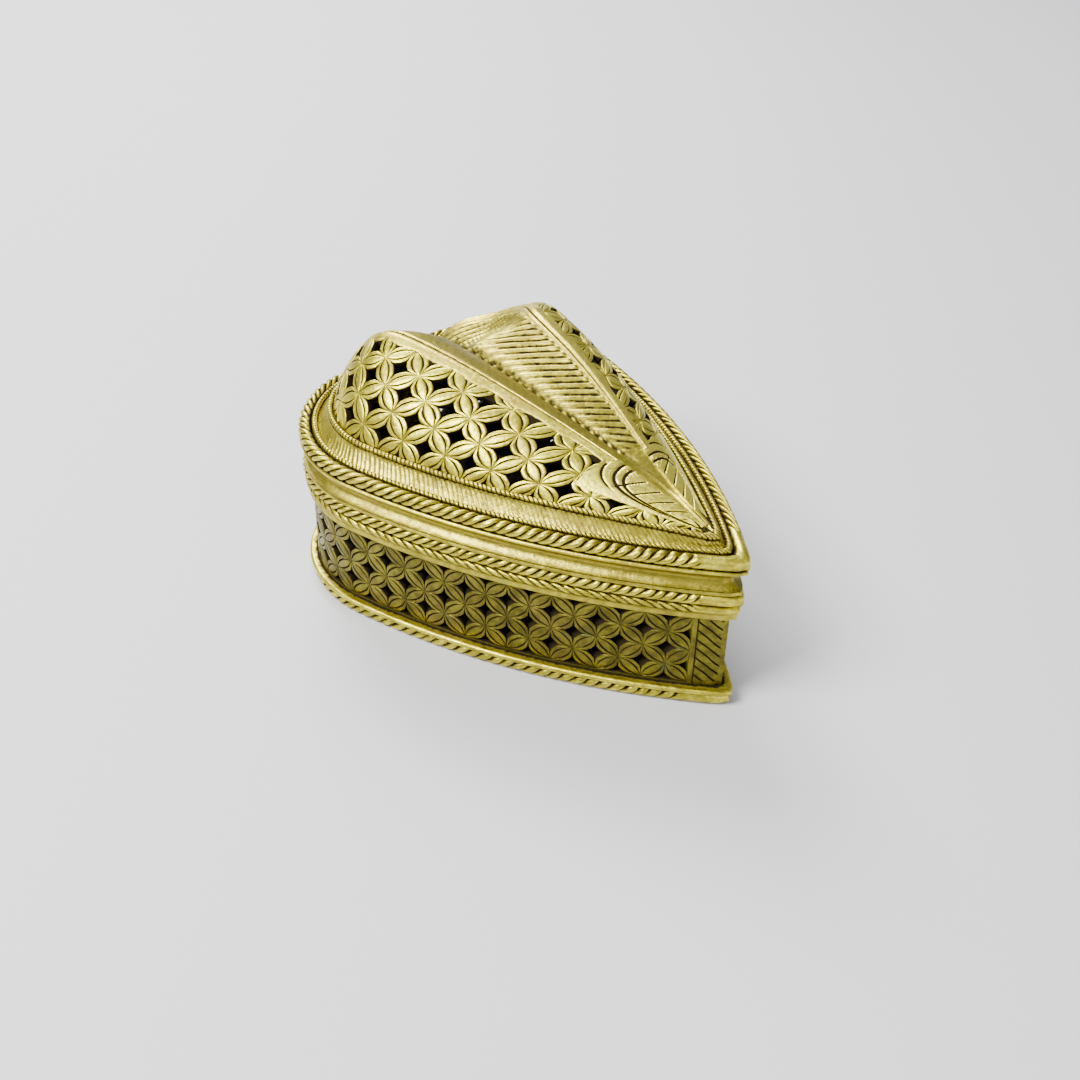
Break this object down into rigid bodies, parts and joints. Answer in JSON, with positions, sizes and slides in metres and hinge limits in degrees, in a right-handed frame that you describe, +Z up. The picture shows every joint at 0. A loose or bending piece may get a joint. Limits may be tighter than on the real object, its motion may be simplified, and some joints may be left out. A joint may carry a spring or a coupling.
{
  "type": "heart-shaped trinket box",
  "caption": "Small heart-shaped pierced brass box with rope mouldings and a hinged, domed, pierced lid with two ridges.",
  "frame": {"origin": "middle of the bounding box, on the plane that the foot stands on", "axes": "+Z up, the tip of the heart towards -Y, the hinge and the cleft at +Y, X = 0 is the middle plane"},
  "size_m": [0.0698, 0.1025, 0.052],
  "materials": {
    "pierced_brass": "aged, worn bright on the high points",
    "band_brass": "aged, worn bright on the high points",
    "rope_brass": "aged, worn bright on the high points",
    "chased_brass": "aged, worn bright on the high points",
    "polished_brass": "aged, worn bright on the high points",
    "floor_brass": "aged, worn bright on the high points",
    "hinge_brass": "aged, worn bright on the high points"
  },
  "bodies": {
    "box": {"base_plate": "floor_brass", "foot_rope": "rope_brass", "foot_fillet": "band_brass", "wall_left": "pierced_brass", "wall_right": "pierced_brass", "tip_post": "polished_brass", "back_post": "pierced_brass", "rim_collar": "band_brass", "rim_rope": "rope_brass", "hinge_lug_box": "hinge_brass", "hinge_pin": "hinge_brass"},
    "lid": {"lid_lower_rope": "rope_brass", "lid_seat_band": "band_brass", "lid_scotia_band": "band_brass", "lid_flange": "band_brass", "lid_upper_rope": "rope_brass", "lower_bead_wire": "rope_brass", "shoulder_band": "chased_brass", "upper_bead_wire": "rope_brass", "dome_grille_left": "pierced_brass", "dome_grille_right": "pierced_brass", "ridge_left": "polished_brass", "ridge_right": "polished_brass", "tip_leaf_left": "polished_brass", "tip_leaf_right": "polished_brass", "valley_panel": "chased_brass", "hinge_lug_lid": "hinge_brass"}
  },
  "joints": [
    {"name": "lid_hinge", "type": "hinge", "parent": "box", "child": "lid", "pos_m": [0, 0.04926, 0.0236], "axis": [-1, 0, 0], "range_deg": [0, 110]}
  ]
}
